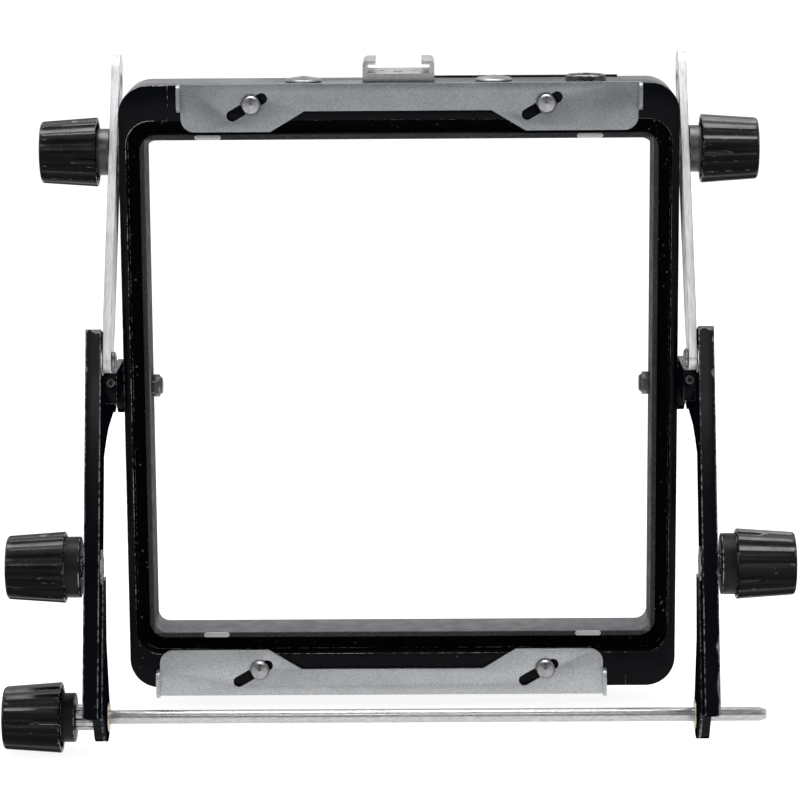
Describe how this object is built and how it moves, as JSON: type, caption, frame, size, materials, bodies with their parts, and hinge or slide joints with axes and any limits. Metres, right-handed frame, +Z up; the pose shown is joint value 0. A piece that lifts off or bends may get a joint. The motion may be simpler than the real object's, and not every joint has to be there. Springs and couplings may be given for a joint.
{
  "type": "view camera tilting standard frame",
  "caption": "Square board frame of a view camera, tilting between two leaning side arms on a cross rod, with slotted struts, clamp knobs, sliding board locks and an accessory shoe.",
  "frame": {"origin": "axis of the cross rod, midway between the two arms", "axes": "+Z up along the frame, +Y towards the bellows side, +X to the right seen from the front; the rod runs along X"},
  "size_m": [0.2274, 0.0934, 0.195],
  "materials": {
    "black_paint": "gloss black enamel, worn at the edges",
    "flock": "matte black flock",
    "spring_clip": "satin spring steel",
    "screw_steel": "bright steel",
    "lock_metal_dark": "bead-blasted, satin",
    "lock_metal_light": "bead-blasted, satin",
    "turned_steel": "turned",
    "shoe_metal": "satin chrome",
    "level_body": "black",
    "level_glass": "clear",
    "cap_metal": "turned, grey",
    "bush_metal": "satin",
    "dark_screw": "blackened",
    "brass": "dull",
    "strut_aluminium": "bright, lengthwise brushed",
    "collar_metal": "dark satin",
    "knob_plastic": "gloss black",
    "rod_steel": "polished"
  },
  "bodies": {
    "arms": {"left_arm": "black_paint", "right_arm": "black_paint", "left_stop_block": "black_paint", "right_stop_block": "black_paint", "stop_screws": "dark_screw", "stop_springs": "screw_steel", "stop_plungers": "brass", "strut_screws": "dark_screw", "strut_spacers": "screw_steel", "left_arm_nut": "dark_screw", "right_arm_nut": "dark_screw", "rod_bushes": "brass"},
    "frame": {"frame_left_side": "black_paint", "frame_right_side": "black_paint", "frame_top_bar": "black_paint", "frame_bottom_bar": "black_paint", "seat_lining": "flock", "bellows_clips": "spring_clip", "frame_joint_screws": "screw_steel", "lock_studs": "turned_steel", "accessory_shoe": "shoe_metal", "shoe_screws": "screw_steel", "shoe_stop_rivet": "turned_steel", "level_housing": "level_body", "level_glass": "level_glass", "top_caps": "cap_metal", "left_tilt_disc": "black_paint", "right_tilt_disc": "black_paint", "left_tilt_bush": "bush_metal", "right_tilt_bush": "bush_metal", "left_pivot_screw": "dark_screw", "right_pivot_screw": "dark_screw", "left_upper_washer": "bush_metal", "right_upper_washer": "bush_metal"},
    "left_strut": {"left_strut": "strut_aluminium"},
    "right_strut": {"right_strut": "strut_aluminium"},
    "top_lock": {"top_lock_plate": "lock_metal_dark"},
    "bottom_lock": {"bottom_lock_plate": "lock_metal_light"},
    "left_upper_knob": {"left_upper_knob": "knob_plastic", "left_upper_stud": "turned_steel", "left_upper_collar": "collar_metal"},
    "left_arm_collar": {"left_arm_collar": "knob_plastic"},
    "left_arm_knob": {"left_arm_knob": "knob_plastic", "left_arm_stud": "turned_steel"},
    "right_upper_knob": {"right_upper_knob": "knob_plastic", "right_upper_stud": "turned_steel", "right_upper_collar": "collar_metal"},
    "right_arm_collar": {"right_arm_collar": "knob_plastic"},
    "right_arm_knob": {"right_arm_knob": "knob_plastic", "right_arm_stud": "turned_steel"},
    "rod": {"rod": "rod_steel", "rod_stem": "collar_metal", "rod_collar": "knob_plastic"},
    "rod_knob": {"rod_knob": "knob_plastic"}
  },
  "joints": [
    {"name": "frame_tilt", "type": "hinge", "parent": "arms", "child": "frame", "pos_m": [0, 0.0532, 0.08723], "axis": [-1, 0, 0], "range_deg": [-12, 20]},
    {"name": "left_strut_swing", "type": "hinge", "parent": "arms", "child": "left_strut", "pos_m": [-0.0841, 0.0167, 0.10123], "axis": [-1, 0, 0], "range_deg": [-10.4, 17.2]},
    {"name": "right_strut_swing", "type": "hinge", "parent": "arms", "child": "right_strut", "pos_m": [0.0841, 0.0167, 0.10123], "axis": [-1, 0, 0], "range_deg": [-10.4, 17.2]},
    {"name": "top_lock_slide", "type": "slide", "parent": "frame", "child": "top_lock", "axis": [0.866, 0, 0.5], "range_m": [-0.0035, 0.0063]},
    {"name": "bottom_lock_slide", "type": "slide", "parent": "frame", "child": "bottom_lock", "axis": [0.866, 0, 0.5], "range_m": [-0.0026, 0.0072]},
    {"name": "left_upper_knob_turn", "type": "hinge", "parent": "frame", "child": "left_upper_knob", "pos_m": [-0.095, 0.0536, 0.15753], "axis": [-1, 0, 0], "range_deg": [0, 360]},
    {"name": "left_arm_screw_travel", "type": "slide", "parent": "arms", "child": "left_arm_collar", "axis": [-1, 0, 0], "range_m": [-0.00101, 0.00101]},
    {"name": "left_arm_knob_turn", "type": "hinge", "parent": "left_arm_collar", "child": "left_arm_knob", "pos_m": [-0.095, -0.00063, 0.04485], "axis": [-1, 0, 0], "range_deg": [-360, 360]},
    {"name": "right_upper_knob_turn", "type": "hinge", "parent": "frame", "child": "right_upper_knob", "pos_m": [0.095, 0.0536, 0.15753], "axis": [1, 0, 0], "range_deg": [0, 360]},
    {"name": "right_arm_screw_travel", "type": "slide", "parent": "arms", "child": "right_arm_collar", "axis": [1, 0, 0], "range_m": [-0.00101, 0.00101]},
    {"name": "right_arm_knob_turn", "type": "hinge", "parent": "right_arm_collar", "child": "right_arm_knob", "pos_m": [0.095, -0.00063, 0.04485], "axis": [1, 0, 0], "range_deg": [-360, 360]},
    {"name": "rod_draw", "type": "slide", "parent": "arms", "child": "rod", "axis": [-1, 0, 0], "range_m": [0, 0.18]},
    {"name": "rod_knob_turn", "type": "hinge", "parent": "rod", "child": "rod_knob", "pos_m": [-0.105, 0, 0], "axis": [-1, 0, 0], "continuous": true}
  ],
  "couplings": [
    {"joint": "left_strut_swing", "follows": "frame_tilt", "ratio": 0.85},
    {"joint": "right_strut_swing", "follows": "frame_tilt", "ratio": 0.85},
    {"joint": "left_arm_screw_travel", "follows": "left_arm_knob_turn", "m_per_rad": 0.00015915},
    {"joint": "right_arm_screw_travel", "follows": "right_arm_knob_turn", "m_per_rad": 0.00015915}
  ]
}
